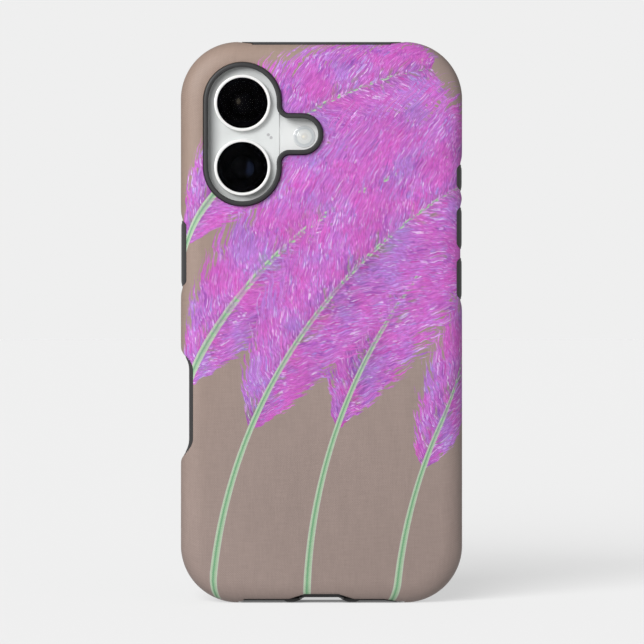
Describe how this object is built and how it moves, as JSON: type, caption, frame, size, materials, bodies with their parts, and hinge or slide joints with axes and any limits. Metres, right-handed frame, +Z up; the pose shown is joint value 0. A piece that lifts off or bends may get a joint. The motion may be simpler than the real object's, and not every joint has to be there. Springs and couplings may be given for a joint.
{
  "type": "printed two-layer phone case fitted on a phone",
  "caption": "Hard printed shell over a rubber liner, fitted on a phone, with a raised camera rim, side keys, an open control notch and a plug cut-out.",
  "frame": {"origin": "middle of the underside of the whole part's box, on the surface it stands on", "axes": "+Z up the length of the phone, +Y out of the screen, the printed back faces -Y, +X to the right seen from the printed back"},
  "size_m": [0.0766, 0.0128, 0.1526],
  "materials": {
    "printed_shell": "satin print in purples and greens on taupe, with a fine canvas weave",
    "black_rubber": "soft matt",
    "silver_aluminium": "bead-blasted anodised, polished on the lens rings",
    "white_back_glass": "opaque white, satin",
    "black_glass": "polished",
    "lens_glass": "polished, dark inside",
    "flash_diffuser": "clear with moulded rings",
    "screen": "switched off",
    "steel": "stamped",
    "black_plastic": "moulded",
    "circuit_board": "solder mask",
    "battery_wrap": "film wrap",
    "copper": "enamelled wire"
  },
  "bodies": {
    "cased_phone": {"case_shell": "printed_shell", "case_liner": "black_rubber", "phone_frame": "silver_aluminium", "back_glass": "white_back_glass", "cover_glass": "black_glass", "display_panel": "screen", "lens_ring_upper": "silver_aluminium", "lens_ring_lower": "silver_aluminium", "lens_glass_upper": "lens_glass", "lens_glass_lower": "lens_glass", "rear_camera_upper": "black_plastic", "rear_camera_lower": "black_plastic", "flash_lens": "flash_diffuser", "flash_carrier": "circuit_board", "rear_microphone": "steel", "plug_socket": "steel", "plug_tongue": "black_plastic", "bottom_screw_left": "steel", "bottom_screw_right": "steel", "speaker_mesh": "black_plastic", "microphone_mesh": "black_plastic", "front_camera": "black_plastic", "battery": "battery_wrap", "logic_board": "circuit_board", "board_shield": "steel", "earpiece_speaker": "black_plastic", "haptic_motor": "steel", "loudspeaker": "black_plastic", "charging_coil": "copper", "magnet_ring": "steel", "power_switch": "black_plastic", "action_switch": "black_plastic", "volume_up_switch": "black_plastic", "volume_down_switch": "black_plastic", "camera_control_switch": "black_plastic"},
    "power_key": {"power_pad": "black_rubber", "power_cap": "silver_aluminium"},
    "action_key": {"action_pad": "black_rubber", "action_cap": "silver_aluminium"},
    "volume_up_key": {"volume_up_pad": "black_rubber", "volume_up_cap": "silver_aluminium"},
    "volume_down_key": {"volume_down_pad": "black_rubber", "volume_down_cap": "silver_aluminium"},
    "camera_control_key": {"camera_control_cap": "silver_aluminium"}
  },
  "joints": [
    {"name": "power_press", "type": "slide", "parent": "cased_phone", "child": "power_key", "axis": [1, 0, 0], "range_m": [0, 0.0003], "stiffness_N_per_m": 4000},
    {"name": "action_press", "type": "slide", "parent": "cased_phone", "child": "action_key", "axis": [-1, 0, 0], "range_m": [0, 0.0003], "stiffness_N_per_m": 4000},
    {"name": "volume_up_press", "type": "slide", "parent": "cased_phone", "child": "volume_up_key", "axis": [-1, 0, 0], "range_m": [0, 0.0003], "stiffness_N_per_m": 4000},
    {"name": "volume_down_press", "type": "slide", "parent": "cased_phone", "child": "volume_down_key", "axis": [-1, 0, 0], "range_m": [0, 0.0003], "stiffness_N_per_m": 4000},
    {"name": "camera_control_press", "type": "slide", "parent": "cased_phone", "child": "camera_control_key", "axis": [1, 0, 0], "range_m": [0, 0.0003], "stiffness_N_per_m": 4000}
  ]
}
